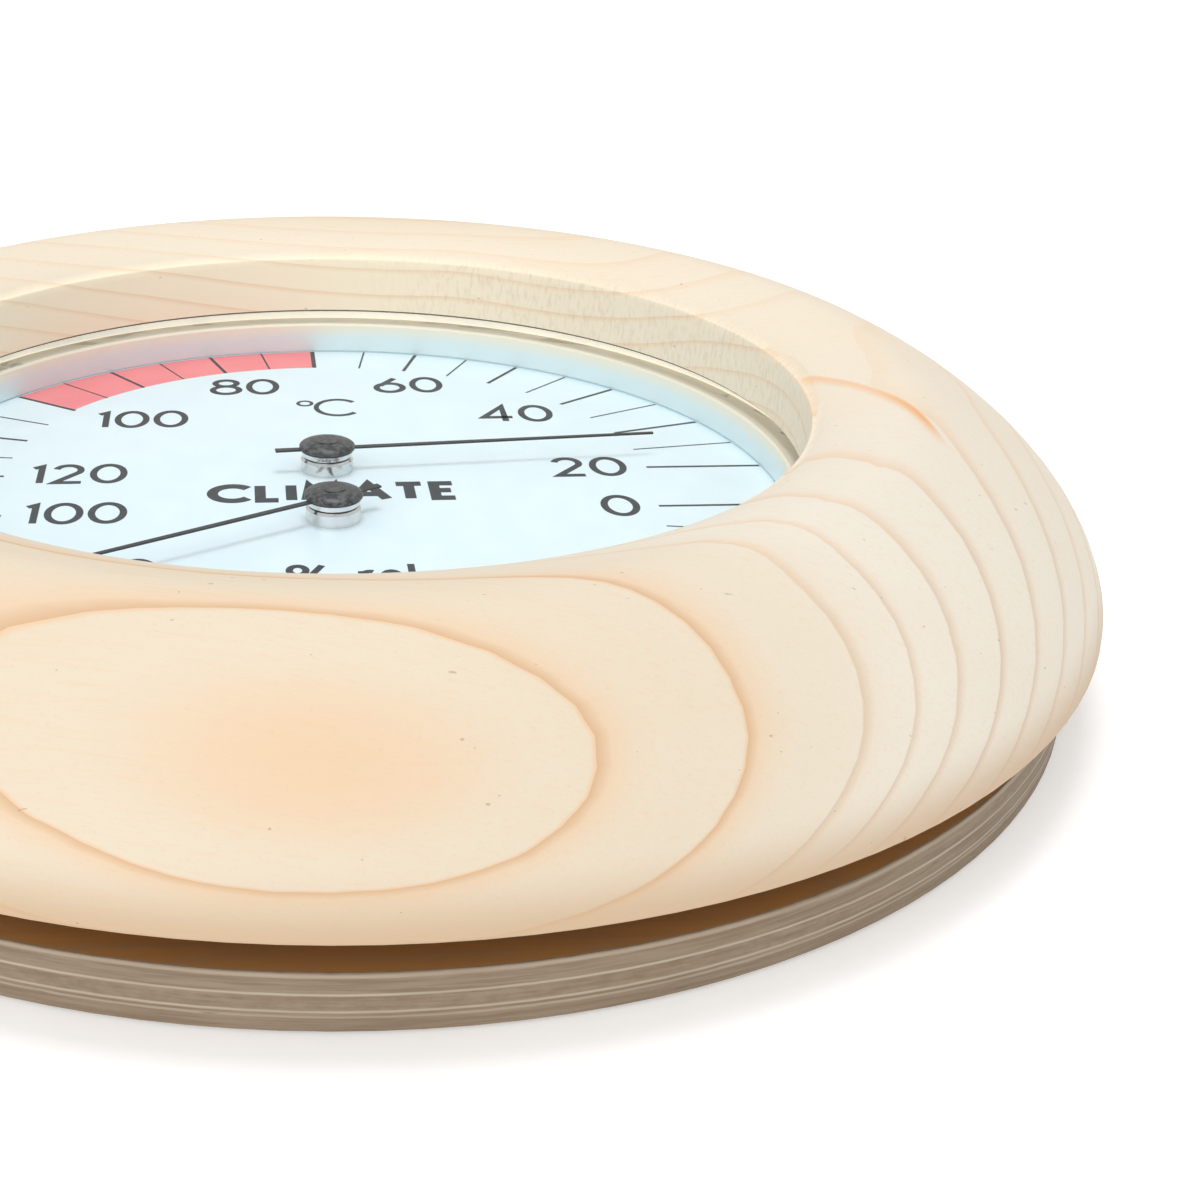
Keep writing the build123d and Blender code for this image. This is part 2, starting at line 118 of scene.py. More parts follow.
class Board:
    """A material's node tree, with one method for every kind of node."""

    def __init__(self, name: str) -> None:
        """Starts a new material with an empty tree.

        Args:
            name: The material's name.
        """
        self.material = bpy.data.materials.new(name)
        self.material.use_nodes = True
        self.tree = self.material.node_tree
        self.tree.nodes.clear()

    def node(self, kind: str, settings: dict, inputs: dict, output: Union[int, str] = 0) -> Sock:
        """Adds one node.

        Args:
            kind: The node's type.
            settings: Properties, set before the inputs.
            inputs: Values or sockets for its inputs, by name or number.
            output: The output to hand back.

        Returns:
            The chosen output.
        """
        made = self.tree.nodes.new(kind)
        for key, value in settings.items():
            setattr(made, key, value)
        for key, value in inputs.items():
            target = made.inputs[key]
            if isinstance(value, Sock):
                self.tree.links.new(value.out, target)
            elif isinstance(value, tuple) and target.type == "RGBA":
                target.default_value = (*value, 1.0)
            else:
                target.default_value = value
        return Sock(self, made.outputs[output] if len(made.outputs) else None)

    def maths(self, operation: str, *values: Value) -> Sock:
        """A Math node on up to three values."""
        return self.node("ShaderNodeMath", {"operation": operation}, dict(enumerate(values)))

    def clamp(self, value: Value, low: float = 0.0, high: float = 1.0) -> Sock:
        """A value kept between two limits."""
        return self.node("ShaderNodeClamp", {}, {"Value": value, "Min": low, "Max": high})

    def smooth(self, value: Value, start: float, end: float) -> Sock:
        """A smooth step from 0 at start to 1 at end."""
        settings = {"interpolation_type": "SMOOTHSTEP"}
        return self.node(
            "ShaderNodeMapRange", settings, {"Value": value, "From Min": start, "From Max": end}
        )

    def position(self) -> tuple[Sock, Sock, Sock]:
        """The point on the piece, in millimetres, as three values."""
        place = self.node("ShaderNodeTexCoord", {}, {}, "Object")
        parts = self.node("ShaderNodeSeparateXYZ", {}, {0: place})
        outs = parts.out.node.outputs
        return tuple(Sock(self, outs[i]) * (1.0 / MM) for i in range(3))

    def vector(self, x: Value, y: Value, z: Value) -> Sock:
        """Three values as a vector."""
        return self.node("ShaderNodeCombineXYZ", {}, {0: x, 1: y, 2: z})

    def noise(self, where: Sock, scale: float, detail: float = 2.0, rough: float = 0.5) -> Sock:
        """Noise from 0 to 1 at a place."""
        inputs = {"Vector": where, "Scale": scale, "Detail": detail, "Roughness": rough}
        return self.node("ShaderNodeTexNoise", {}, inputs)

    def mix(self, low: Value, high: Value, factor: Value) -> Sock:
        """A colour between two colours."""
        settings = {"data_type": "RGBA", "clamp_factor": True}
        return self.node("ShaderNodeMix", settings, {0: factor, 6: low, 7: high}, 2)

    def bump(self, height: Sock, depth_mm: float, strength: float = 1.0) -> Sock:
        """A normal from a height of a given depth."""
        inputs = {"Height": height, "Distance": depth_mm * MM, "Strength": strength}
        return self.node("ShaderNodeBump", {}, inputs)

    def surface(self, inputs: dict) -> bpy.types.Material:
        """Ends the tree in a Principled shader.

        Args:
            inputs: Its inputs by name.

        Returns:
            The finished material.
        """
        self.finish(self.node("ShaderNodeBsdfPrincipled", {}, inputs))
        return self.material

    def finish(self, shader: Sock) -> None:
        """Links a shader to the output."""
        self.node("ShaderNodeOutputMaterial", {}, {"Surface": shader})


def grey(level: float) -> Colour:
    """A neutral colour."""
    return (level, level, level)


@dataclass(frozen=True)
class Grain:
    """Noise stretched along the axes of a piece."""

    stretch: tuple[float, float, float]
    scale: float = 1.0
    detail: float = 2.0
    rough: float = 0.5

    def at(self, board: Board, x: Value, y: Value, z: Value) -> Sock:
        """Its value at a place, from 0 to 1."""
        along, across, up = self.stretch
        where = board.vector(x * along, y * across, z * up)
        return board.noise(where, self.scale, self.detail, self.rough)


@dataclass(frozen=True)
class GrowthField:
    """Growth layers as nested cylinders round a slanting pith, in millimetres."""

    pith_y: float
    pith_z: float
    lean_y: float
    lean_z: float
    first: float
    pitch: float
    growth: float

    def distance(self, spot: Spot) -> Sock:
        """Distance of a point from the pith."""
        x, y, z = spot
        across = y - self.pith_y + x * self.lean_y
        up = z - self.pith_z + x * self.lean_z
        return (across * across + up * up) ** 0.5

    def count(self, board: Board, below: Sock) -> Sock:
        """Number of layers in a depth below the first one, whole at each line."""
        return below / (board.maths("MAXIMUM", below, 0.0) * self.growth + self.pitch)


@dataclass(frozen=True)
class TurnedSoftwood:
    """Bare turned softwood whose growth layers are nested cylinders cut by the ring's flank."""

    warm: Colour = (0.705, 0.605, 0.465)
    pale: Colour = (0.755, 0.695, 0.590)
    honey: Colour = (0.78, 0.655, 0.490)
    # Painted shade: darker brown for the lower flank next to the ring's bottom edge, where less light
    # falls.
    painted_foot_shade: Colour = (0.56, 0.390, 0.240)
    latewood: Colour = (0.76, 0.440, 0.215)
    thin_line: Colour = (0.55, 0.385, 0.260)
    rim_line: Colour = (0.50, 0.300, 0.150)
    flare_tone: Colour = (0.78, 0.400, 0.160)
    # Painted light: pale colour that brightens the bore wall as if lit from the front.
    painted_bore_light: Colour = (0.95, 0.820, 0.620)
    speck_tone: Colour = (0.22, 0.13, 0.07)

    near: GrowthField = GrowthField(-17.72, -37.35, 0.303, 0.009, 78.31, 2.8, 0.028)
    far: GrowthField = GrowthField(2.74, -61.25, 0.107, 0.039, 109.82, 2.75, 0.0065)
    upper_span: Span = (-42.0, 5.0)
    far_shift: float = 0.26
    far_shift_span: Span = (5.0, 40.0)
    far_drift: Grain = Grain((0.012, 0.04, 0.04))
    far_drift_mm: float = 1.6

    rise_level: float = 20.0
    reach_start: float = 50.0
    reach_most: float = 40.0
    bend_along: float = 0.0007
    bend_twist: float = 0.00738
    bend_climb: float = 0.00267
    bend_rise: float = 0.02198
    hump_level: float = 18.0
    hump_curve: float = 0.0117
    hump_sink: float = 0.39
    hump_fade: Span = (28.0, 45.0)
    drift: Grain = Grain((0.010, 0.035, 0.035))
    drift_mm: float = 0.25
    ripple: Grain = Grain((0.06, 0.16, 0.16), 1.0, 1.0)
    ripple_mm: float = 0.2

    squeeze: float = 0.38
    squeeze_in: Span = (0.6, 2.3)
    squeeze_out: Span = (2.3, 4.0)
    crest_radius: float = 58.8
    lip_lag: float = 0.125
    lag_span: Span = (15.0, 40.0)

    broad_span: Span = (1.2, 2.0)
    broad_loss: float = 0.75
    edge_span: Span = (0.97, 1.0)
    tail_share: float = 0.42
    tail_power: float = 2.2
    rim_share: float = 0.08
    core_share: float = 0.20
    core_power: float = 1.3
    year: Grain = Grain((3.7, 0.0, 0.0), 1.0, 0.0)
    year_lead: float = 0.04
    heart_span: Span = (79.0, 80.4)

    calm_y: float = 2.0
    calm_right: Span = (42.0, 48.0)
    calm_across: Span = (14.0, 24.0)
    calm_outer: Span = (59.5, 64.0)
    calm_inner: Span = (50.0, 50.6)
    calm_strength: float = 0.9

    flare_x: float = 56.8
    flare_y: float = -27.0
    flare_curve: float = 0.0098
    flare_edge: Span = (-0.5, 0.1)
    flare_fade: Span = (0.1, 1.6)
    flare_low: Span = (-28.0, -21.0)
    flare_high: Span = (-2.0, 2.0)
    flare_top: Span = (24.8, 25.8)
    flare_strength: float = 0.95
    knot_y: float = -22.0
    knot_span: Span = (2.0, 11.0)
    knot_share: float = 0.40

    fibre: Grain = Grain((0.05, 1.0, 1.0), 2.6, 3.0, 0.6)
    fibre_span: Span = (0.50, 0.80)
    fibre_tint: float = 0.20
    pores: Grain = Grain((0.4, 1.0, 1.0), 5.0)
    pores_span: Span = (0.56, 0.80)
    pores_tint: float = 0.18
    cloud: Grain = Grain((0.02, 0.09, 0.09))
    cloud_share: float = 0.5
    speck: Grain = Grain((0.6, 1.0, 1.0), 2.0, 0.0)
    speck_span: Span = (0.865, 0.885)
    speck_tint: float = 0.38
    fuzz: Grain = Grain((2.2, 0.7, 1.0), 1.0, 3.0, 0.6)
    fuzz_span: Span = (0.45, 0.75)
    fuzz_tint: float = 0.30
    end_grain: Span = (2.0, 22.0)

    cool_span: Span = (0.2, 3.4)
    honey_tint: float = 0.9
    wide_tint: float = 0.52
    heart_tint: float = 0.55
    rim_tint: float = 0.5
    painted_foot_shade_span: Span = (9.6, 15.0)
    painted_foot_shade_tint: float = 0.85
    tail_tint: float = 0.16
    lip_span: Span = (59.0, 70.0)
    upper_latewood: float = 0.75
    lip_latewood: float = 0.7
    line_base: float = 0.25
    line_year: float = 0.35
    line_lip_loss: float = 0.25
    line_upper_loss: float = 0.65
    line_bore_gain: float = 0.7
    bore_radius: float = 50.0
    bore_span: Span = (50.0, 51.0)
    bore_light_tint: float = 0.75
    bore_light_falloff: float = 0.45
    bore_light_falloff_span: Span = (5.0, 40.0)

    rough: float = 0.50
    rough_swing: float = 0.14
    shine: float = 0.32
    fibre_height: float = 0.6
    late_height: float = 0.4
    relief_mm: float = 0.06

    def far_count(self, board: Board, spot: Spot) -> Sock:
        """Layers below the first one on the upper half of the ring, whole at each line."""
        drift = self.far_drift.at(board, *spot)
        below = self.far.first - self.far.distance(spot) - (drift - 0.5) * self.far_drift_mm
        return self.far.count(board, below)

    def depth(self, board: Board, spot: Spot) -> Sock:
        """Distance from the near pith, bent a little as real layers are.

        Args:
            board: The material's board.
            spot: Place along the grain, across the dial and up, in millimetres.

        Returns:
            The distance in millimetres.
        """
        x, y, z = spot
        distance = self.near.distance(spot)
        rise = z - self.rise_level
        reach = board.maths("MINIMUM", y + self.reach_start, self.reach_most)
        bend = x * x * self.bend_along - x * reach * self.bend_twist
        bend = bend + x * rise * self.bend_climb - rise * rise * self.bend_rise
        drift = self.drift.at(board, *spot)
        ripple = self.ripple.at(board, *spot)
        above = z - self.hump_level
        hump = above * above * self.hump_curve - self.hump_sink
        hump = hump * (1.0 - board.smooth(x, *self.hump_fade))
        return distance + bend + hump + (drift - 0.5) * self.drift_mm + (ripple - 0.5) * self.ripple_mm

    def count(self, board: Board, spot: Spot, depth: Sock, radius: Sock, upper: Sock) -> Sock:
        """Layers below the first one all round the ring.

        Args:
            board: The material's board.
            spot: Place along the grain, across the dial and up, in millimetres.
            depth: Distance from the near pith.
            radius: Distance from the ring's axis.
            upper: 1 on the ring's upper half and 0 on its lower.

        Returns:
            The count, whole at each line.
        """
        x, y, _ = spot
        count = self.near.count(board, self.near.first - depth)
        squeeze = board.smooth(count, *self.squeeze_in) - board.smooth(count, *self.squeeze_out)
        count = count - squeeze * self.squeeze
        shift = board.smooth(y, *self.far_shift_span) * self.far_shift
        far = self.far_count(board, spot) - shift
        count = count + (far - count) * upper
        inside = board.maths("MAXIMUM", self.crest_radius - radius, 0.0)
        return count - inside * board.smooth(x, *self.lag_span) * self.lip_lag

    def calm(self, board: Board, x: Sock, y: Sock, radius: Sock) -> Sock:
        """How far the thin lines fade beside the right-hand lip, from 0 to 1."""
        across = 1.0 - board.smooth(abs(y - self.calm_y), *self.calm_across)
        calm = board.smooth(x, *self.calm_right) * across
        calm = calm * (1.0 - board.smooth(radius, *self.calm_outer))
        return calm * board.smooth(radius, *self.calm_inner)

    def flare(self, board: Board, spot: Spot) -> Sock:
        """How strongly the orange streak by the lower right lip shows, from 0 to 1."""
        x, y, z = spot
        stray = y - self.flare_y
        inward = self.flare_x - stray * stray * self.flare_curve - x
        flare = board.smooth(inward, *self.flare_edge) * (1.0 - board.smooth(inward, *self.flare_fade))
        knot = 1.0 - board.smooth(abs(y - self.knot_y), *self.knot_span)
        flare = flare * (knot * self.knot_share + (1.0 - self.knot_share))
        flare = flare * board.smooth(y, *self.flare_low) * (1.0 - board.smooth(y, *self.flare_high))
        return flare * board.smooth(z, *self.flare_top)

    def material(self) -> bpy.types.Material:
        """The finished wood."""
        board = Board("turned_softwood")
        spot = x, y, z = board.position()
        radius = (x * x + y * y) ** 0.5
        upper = board.smooth(y, *self.upper_span)
        bore = 1.0 - board.smooth(radius, *self.bore_span)
        by_lip = 1.0 - board.smooth(radius, *self.lip_span)
        depth = self.depth(board, spot)
        count = self.count(board, spot, depth, radius, upper)

        part = count % 1.0
        broad = (1.0 - board.smooth(count, *self.broad_span)) * (1.0 - upper * self.broad_loss)
        edge = board.smooth(part, *self.edge_span)
        tail = board.clamp(1.0 - part / self.tail_share) ** self.tail_power
        rim = board.clamp(1.0 - part / self.rim_share)
        core = board.clamp(1.0 - part / self.core_share) ** self.core_power
        wide = board.maths("MAXIMUM", tail, edge) * broad
        thin = board.maths("MAXIMUM", core, edge) * (1.0 - broad)
        thin = thin * (1.0 - self.calm(board, x, y, radius) * self.calm_strength)
        heart = board.smooth(depth, *self.heart_span) * (1.0 - upper)

        straight = y + x * self.near.lean_y
        fibre = self.fibre.at(board, x, straight, z)
        pores = self.pores.at(board, x, straight, z)
        cloud = self.cloud.at(board, x, straight, z)
        cool = board.clamp(board.smooth(count, *self.cool_span) + (cloud - 0.5) * self.cloud_share)
        ground = board.mix(self.warm, self.pale, cool)
        ground = board.mix(ground, self.honey, upper * cloud * self.honey_tint)
        late = board.clamp(wide * self.wide_tint + heart * self.heart_tint)
        ground = board.mix(ground, self.latewood, late)
        ground = board.mix(ground, self.rim_line, rim * broad * self.rim_tint)
        # Painted shade: the wood darkens towards the ring's bottom edge.
        painted_foot_shade = 1.0 - board.smooth(z, *self.painted_foot_shade_span)
        ground = board.mix(ground, self.painted_foot_shade, painted_foot_shade * self.painted_foot_shade_tint)
        ground = board.mix(ground, self.latewood, tail * (1.0 - broad) * self.tail_tint)
        flare = self.flare(board, spot) * self.flare_strength
        ground = board.mix(ground, self.flare_tone, flare)
        fleck = board.smooth(fibre, *self.fibre_span) * self.fibre_tint
        ground = board.mix(ground, self.latewood, fleck)
        pitted = board.smooth(pores, *self.pores_span) * self.pores_tint
        ground = board.mix(ground, self.thin_line, pitted)

        # Painted light: the bore wall is brightened as if lit from the front, less towards the right
        # side, which stays in shade.
        bore_light_share = self.bore_light_tint - board.smooth(x, *self.bore_light_falloff_span) * self.bore_light_falloff
        ground = board.mix(ground, self.painted_bore_light, bore * bore_light_share)
        redness = board.clamp(upper * self.upper_latewood + by_lip * self.lip_latewood)
        line = board.mix(self.thin_line, self.latewood, redness)
        layer = board.maths("FLOOR", count + self.year_lead)
        heavy = self.year.at(board, layer, 0.0, 0.0) * self.line_year + self.line_base
        heavy = heavy * (1.0 - by_lip * self.line_lip_loss)
        heavy = heavy * (1.0 - upper * self.line_upper_loss + bore * self.line_bore_gain)
        ground = board.mix(ground, line, thin * heavy)
        turn = board.maths("ARCTAN2", y, x) * self.bore_radius
        fuzz = board.smooth(self.fuzz.at(board, turn, z, radius), *self.fuzz_span)
        fuzz = fuzz * board.smooth(x, *self.end_grain) * bore
        ground = board.mix(ground, self.thin_line, fuzz * self.fuzz_tint)
        speck = board.smooth(self.speck.at(board, *spot), *self.speck_span)
        ground = board.mix(ground, self.speck_tone, speck * self.speck_tint)
        height = fibre * self.fibre_height - (wide + thin) * self.late_height
        return board.surface(
            {
                "Base Color": ground,
                "Roughness": fibre * self.rough_swing + self.rough,
                "Specular IOR Level": self.shine,
                "Normal": board.bump(height, self.relief_mm, 0.5),
            }
        )


@dataclass(frozen=True)
class BirchPly:
    """Plywood: glued veneers on its edge, one plain veneer on each face."""

    light: Colour = (0.300, 0.235, 0.165)
    dark: Colour = (0.225, 0.165, 0.110)
    glue: Colour = (0.49, 0.410, 0.320)
    # Front veneer: partly its own warm tone, partly painted shade and warm painted bounce light, as it
    # shows only in the shaded gap under the ring.
    face: Colour = (0.36, 0.165, 0.040)
    back: Colour = (0.52, 0.375, 0.235)
    crack: Colour = (0.085, 0.062, 0.048)
    pitch: float = 1.66
    offset: float = 0.24
    seams: tuple[Span, ...] = ((5.17, 0.9), (3.57, 0.8), (2.02, 0.8), (1.55, 0.55))
    seam_span: Span = (0.04, 0.17)
    edge_radius: float = 77.0
    edge_span: Span = (76.4, 76.6)
    wave: Grain = Grain((0.03, 0.0, 0.0))
    wave_mm: float = 0.25
    streak: Grain = Grain((0.06, 1.6, 9.0), 1.6, 4.0, 0.65)
    ends: Grain = Grain((0.7, 1.4, 5.0), 1.0, 3.0, 0.6)
    ends_share: float = 0.4
    crossed_span: Span = (30.0, 62.0)
    figure_span: Span = (0.34, 0.66)
    fade: Grain = Grain((0.09, 0.5, 1.0))
    fade_place: float = 3.0
    # Painted shade: how much the layered edge darkens towards its bottom, next to the floor.
    ply_bottom_shade: float = 0.2
    ply_bottom_shade_span: Span = (0.2, 2.6)
    split: Grain = Grain((0.22, 2.4, 3.0), 1.0, 1.0)
    split_span: Span = (0.72, 0.82)
    split_tint: float = 0.7
    grain: Grain = Grain((0.03, 0.9, 0.0), 1.2, 4.0, 0.6)
    grain_tint: float = 0.25
    contour: Grain = Grain((0.010, 0.06, 0.0), 1.5)
    contour_lines: float = 60.0
    contour_tint: float = 0.25
    face_span: Span = (1.5, 4.0)
    rough: float = 0.62
    rough_swing: float = 0.1
    shine: float = 0.25
    relief_mm: float = 0.08

    def edge(self, board: Board, side: Sock, spot: Spot, streak: Sock, level: Sock) -> Sock:
        """The colour of the layered edge.

        Args:
            board: The material's board.
            side: Distance to the left or right of the middle, in millimetres.
            spot: Place round the edge, height, and number of the veneer.
            streak: The veneers' long streaks, from 0 to 1.
            level: Height with the veneers' waviness.

        Returns:
            The colour.
        """
        turn, z, layer = spot
        ends = self.ends.at(board, *spot)
        crossed = board.maths("PINGPONG", layer + board.smooth(side, *self.crossed_span), 1.0)
        figure = streak + (ends - streak) * crossed * self.ends_share
        edge = board.mix(self.dark, self.light, board.smooth(figure, *self.figure_span))
        fade = self.fade.at(board, turn, z, self.fade_place)
        for place, strength in self.seams:
            seam = 1.0 - board.smooth(abs(level - place), *self.seam_span)
            edge = board.mix(edge, self.glue, seam * strength * (fade + 0.5))
        # Painted shade: the layered edge darkens towards its bottom, next to the floor.
        bottom_shade = self.ply_bottom_shade - board.smooth(z, *self.ply_bottom_shade_span) * self.ply_bottom_shade
        edge = board.mix(edge, self.dark, bottom_shade)
        split = board.smooth(self.split.at(board, *spot), *self.split_span)
        return board.mix(edge, self.crack, split * self.split_tint)

    def material(self) -> bpy.types.Material:
        """The finished plywood."""
        board = Board("plywood")
        x, y, z = board.position()
        turn = board.maths("ARCTAN2", y, x) * self.edge_radius
        level = z + (self.wave.at(board, turn, 0.0, 0.0) - 0.5) * self.wave_mm
        layer = board.maths("FLOOR", (level - self.offset) / self.pitch)
        streak = self.streak.at(board, turn, z, layer)
        edge = self.edge(board, abs(x), (turn, z, layer), streak, level)
        grain = self.grain.at(board, x, y, 0.0)
        contour = self.contour.at(board, x, y, 0.0) * self.contour_lines
        rings = board.maths("SINE", contour) * 0.5 + 0.5
        # The front face gets the darkened face colour: partly the veneer's tone, partly painted shade
        # of the gap under the ring.
        veneer = board.mix(self.back, self.face, board.smooth(z, *self.face_span))
        veneer = board.mix(veneer, self.light, grain * self.grain_tint)
        veneer = board.mix(veneer, self.dark, rings * self.contour_tint)
        on_edge = board.smooth((x * x + y * y) ** 0.5, *self.edge_span)
        height = streak * on_edge + grain * (1.0 - on_edge)
        return board.surface(
            {
                "Base Color": board.mix(veneer, edge, on_edge),
                "Roughness": grain * self.rough_swing + self.rough,
                "Specular IOR Level": self.shine,
                "Normal": board.bump(height, self.relief_mm, 0.6),
            }
        )


@dataclass(frozen=True)
class Metal:
    """Bright or satin metal with fine brushing and faint tarnish."""

    name: str
    tone: Colour
    worn: Colour
    rough: float = 0.30
    lines: Grain = Grain((0.3, 0.3, 6.0), 2.0, 3.0)
    cloud: Grain = Grain((1.0, 1.0, 1.0), 0.35, 3.0)
    cloud_span: Span = (0.40, 0.70)
    rough_swing: float = 0.16
    brush_mm: float = 0.012

    def material(self) -> bpy.types.Material:
        """The finished metal."""
        board = Board(self.name)
        x, y, z = board.position()
        lines = self.lines.at(board, x, y, z)
        cloud = board.smooth(self.cloud.at(board, x, y, z), *self.cloud_span)
        return board.surface(
            {
                "Base Color": board.mix(self.tone, self.worn, cloud),
                "Metallic": 1.0,
                "Roughness": (lines - 0.5) * self.rough_swing + self.rough,
                "Normal": board.bump(lines, self.brush_mm, 0.5),
            }
        )


@dataclass(frozen=True)
class Coat:
    """Paint, plastic, rubber or ink with a faint orange peel and scuffing; on the cap the lighter
    flecks are painted highlights.
    """

    name: str
    tone: Colour
    shade: Colour
    rough: float = 0.45
    peel_mm: float = 0.008
    gloss: float = 0.5
    fleck: float = 0.25
    cloud_span: Span = (0.36, 0.68)
    rough_swing: float = 0.12
    peel_scale: float = 3.2

    def material(self) -> bpy.types.Material:
        """The finished coat."""
        board = Board(self.name)
        place = board.vector(*board.position())
        cloud = board.smooth(board.noise(place, self.fleck, 3.0), *self.cloud_span)
        peel = board.noise(place, self.peel_scale, 2.0)
        return board.surface(
            {
                "Base Color": board.mix(self.tone, self.shade, cloud),
                "Roughness": (cloud - 0.5) * self.rough_swing + self.rough,
                "Specular IOR Level": self.gloss,
                "Normal": board.bump(peel, self.peel_mm, 0.4),
            }
        )


@dataclass(frozen=True)
class BezelWall:
    """Satin aluminium wall with a painted reflection of the warm wood towards its top."""

    tone: Colour = (0.74, 0.86, 0.885)
    # Painted reflection: warm wood colour mirrored in the wall's upper part.
    top: Colour = (0.93, 0.84, 0.66)
    wood_reflection_tint: float = 0.9
    fade_span: Span = (14.6, 16.9)
    fade_wander: float = 0.6
    radius: float = 50.0
    lines: Grain = Grain((0.05, 6.0, 0.0), 2.0, 3.0)
    cloud: Grain = Grain((0.3, 1.0, 0.0), 0.35, 3.0)
    metallic: float = 0.15
    rough: float = 0.42
    rough_swing: float = 0.16
    brush_mm: float = 0.012

    def material(self) -> bpy.types.Material:
        """The finished wall."""
        board = Board("satin_aluminium")
        x, y, z = board.position()
        turn = board.maths("ARCTAN2", y, x) * self.radius
        lines = self.lines.at(board, turn, z, 0.0)
        cloud = self.cloud.at(board, turn, z, 0.0)
        # Painted reflection: the wall's upper part takes the wood's warm colour, as the wood round it
        # is mirrored there.
        painted_wood_reflection = board.smooth(z + (cloud - 0.5) * self.fade_wander, *self.fade_span)
        return board.surface(
            {
                "Base Color": board.mix(self.tone, self.top, painted_wood_reflection * self.wood_reflection_tint),
                "Metallic": self.metallic,
                "Roughness": (lines - 0.5) * self.rough_swing + self.rough,
                "Normal": board.bump(lines, self.brush_mm, 0.5),
            }
        )


@dataclass(frozen=True)
class ClearPane:
    """Clear window glass, thin enough to look straight through."""

    tint: Colour = (0.985, 0.993, 0.996)
    # Beige tint and glow of the cut edge are painted light: warm bounce from the wood, and brightness
    # for the shaded band under the ledge.
    edge_tint: Colour = (0.97, 0.93, 0.82)
    edge_span: Span = (51.78, 51.8)
    edge_metallic: float = 0.2
    edge_rough: float = 0.35
    painted_edge_glow: float = 0.45
    index: float = 1.5
    smear: Grain = Grain((1.0, 0.6, 1.0), 0.06, 3.0)
    smear_share: float = 0.1
    mirror_share: float = 0.26
    mirror_rough: float = 0.02
    wave: Grain = Grain((1.0, 1.0, 1.0), 0.05, 1.0)
    wave_mm: float = 0.02

    def material(self) -> bpy.types.Material:
        """The finished glass."""
        board = Board("clear_glass")
        x, y, z = board.position()
        normal = board.bump(self.wave.at(board, x, y, z), self.wave_mm, 0.3)
        through = board.node("ShaderNodeBsdfTransparent", {}, {"Color": self.tint})
        shine = {"Roughness": self.mirror_rough, "Normal": normal}
        mirror = board.node("ShaderNodeBsdfGlossy", {}, shine)
        facing = board.node("ShaderNodeFresnel", {}, {"IOR": self.index, "Normal": normal})
        behind = board.node("ShaderNodeNewGeometry", {}, {}, "Backfacing")
        smear = self.smear.at(board, x, y, z)
        share = board.clamp(facing * (smear * self.smear_share + self.mirror_share) * (1.0 - behind))
        pane = board.node("ShaderNodeMixShader", {}, {0: share, 1: through, 2: mirror})
        # Painted light: the ground cut edge glows in warm beige to brighten the shaded band under the
        # ring's ledge; its satin base is the edge's own finish.
        rim = {
            "Base Color": self.edge_tint, "Metallic": self.edge_metallic, "Roughness": self.edge_rough,
            "Emission Color": self.edge_tint, "Emission Strength": self.painted_edge_glow,
        }
        cut_edge = board.node("ShaderNodeBsdfPrincipled", {}, rim)
        on_edge = board.smooth((x * x + y * y) ** 0.5, *self.edge_span)
        board.finish(board.node("ShaderNodeMixShader", {}, {0: on_edge, 1: pane, 2: cut_edge}))
        return board.material


class Ink(Enum):
    """The inks printed on the dial."""

    SCALE = Coat("scale_ink", (0.018, 0.024, 0.029), (0.028, 0.034, 0.040), 0.5, 0.002)
    DANGER = Coat("danger_ink", (0.90, 0.240, 0.265), (0.91, 0.27, 0.29), 0.5, 0.002)


def ribbon(
    bm: bmesh.types.BMesh, path: Sequence[Point], width: float, low: float, high: float,
    closed: bool = False,
) -> None:
    """Adds a flat stroke of even width along a path.

    Args:
        bm: The mesh.
        path: Points of its middle line, in millimetres.
        width: Its width.
        low: Height of its underside.
        high: Height of its top.
        closed: True for a loop.
    """
    count = len(path)
    left, right = [], []
    for i, (x, y) in enumerate(path):
        before = path[(i - 1) % count] if closed or i else None
        after = path[(i + 1) % count] if closed or i < count - 1 else None
        steps = []
        if before is not None:
            steps.append(Vector((x - before[0], y - before[1])).normalized())
        if after is not None:
            steps.append(Vector((after[0] - x, after[1] - y)).normalized())
        along = sum(steps, Vector((0.0, 0.0))).normalized()
        bend = max(MITRE_LIMIT, along.dot(steps[0]))
        side = Vector((-along.y, along.x)) * (width / 2 / bend)
        left.append((x + side.x, y + side.y))
        right.append((x - side.x, y - side.y))
    rails = [
        [bm.verts.new((x * MM, y * MM, h * MM)) for x, y in rail]
        for rail, h in ((left, low), (right, low), (right, high), (left, high))
    ]
    for i in range(count if closed else count - 1):
        j = (i + 1) % count
        for a in range(4):
            b = (a + 1) % 4
            bm.faces.new((rails[a][i], rails[a][j], rails[b][j], rails[b][i]))
    if not closed:
        bm.faces.new([rails[a][0] for a in range(4)])
        bm.faces.new([rails[a][-1] for a in reversed(range(4))])


def arc(
    cx: float, cy: float, rx: float, ry: float, start: float, end: float, steps: int = 28
) -> list[Point]:
    """Points along an ellipse between two angles in degrees."""
    angles = [math.radians(start + (end - start) * i / steps) for i in range(steps + 1)]
    return [(cx + rx * math.cos(a), cy + ry * math.sin(a)) for a in angles]


@dataclass(frozen=True)
class Glyph:
    """One drawn letter or numeral on a body one unit high."""

    width: float
    open_strokes: tuple = ()
    loops: tuple = ()


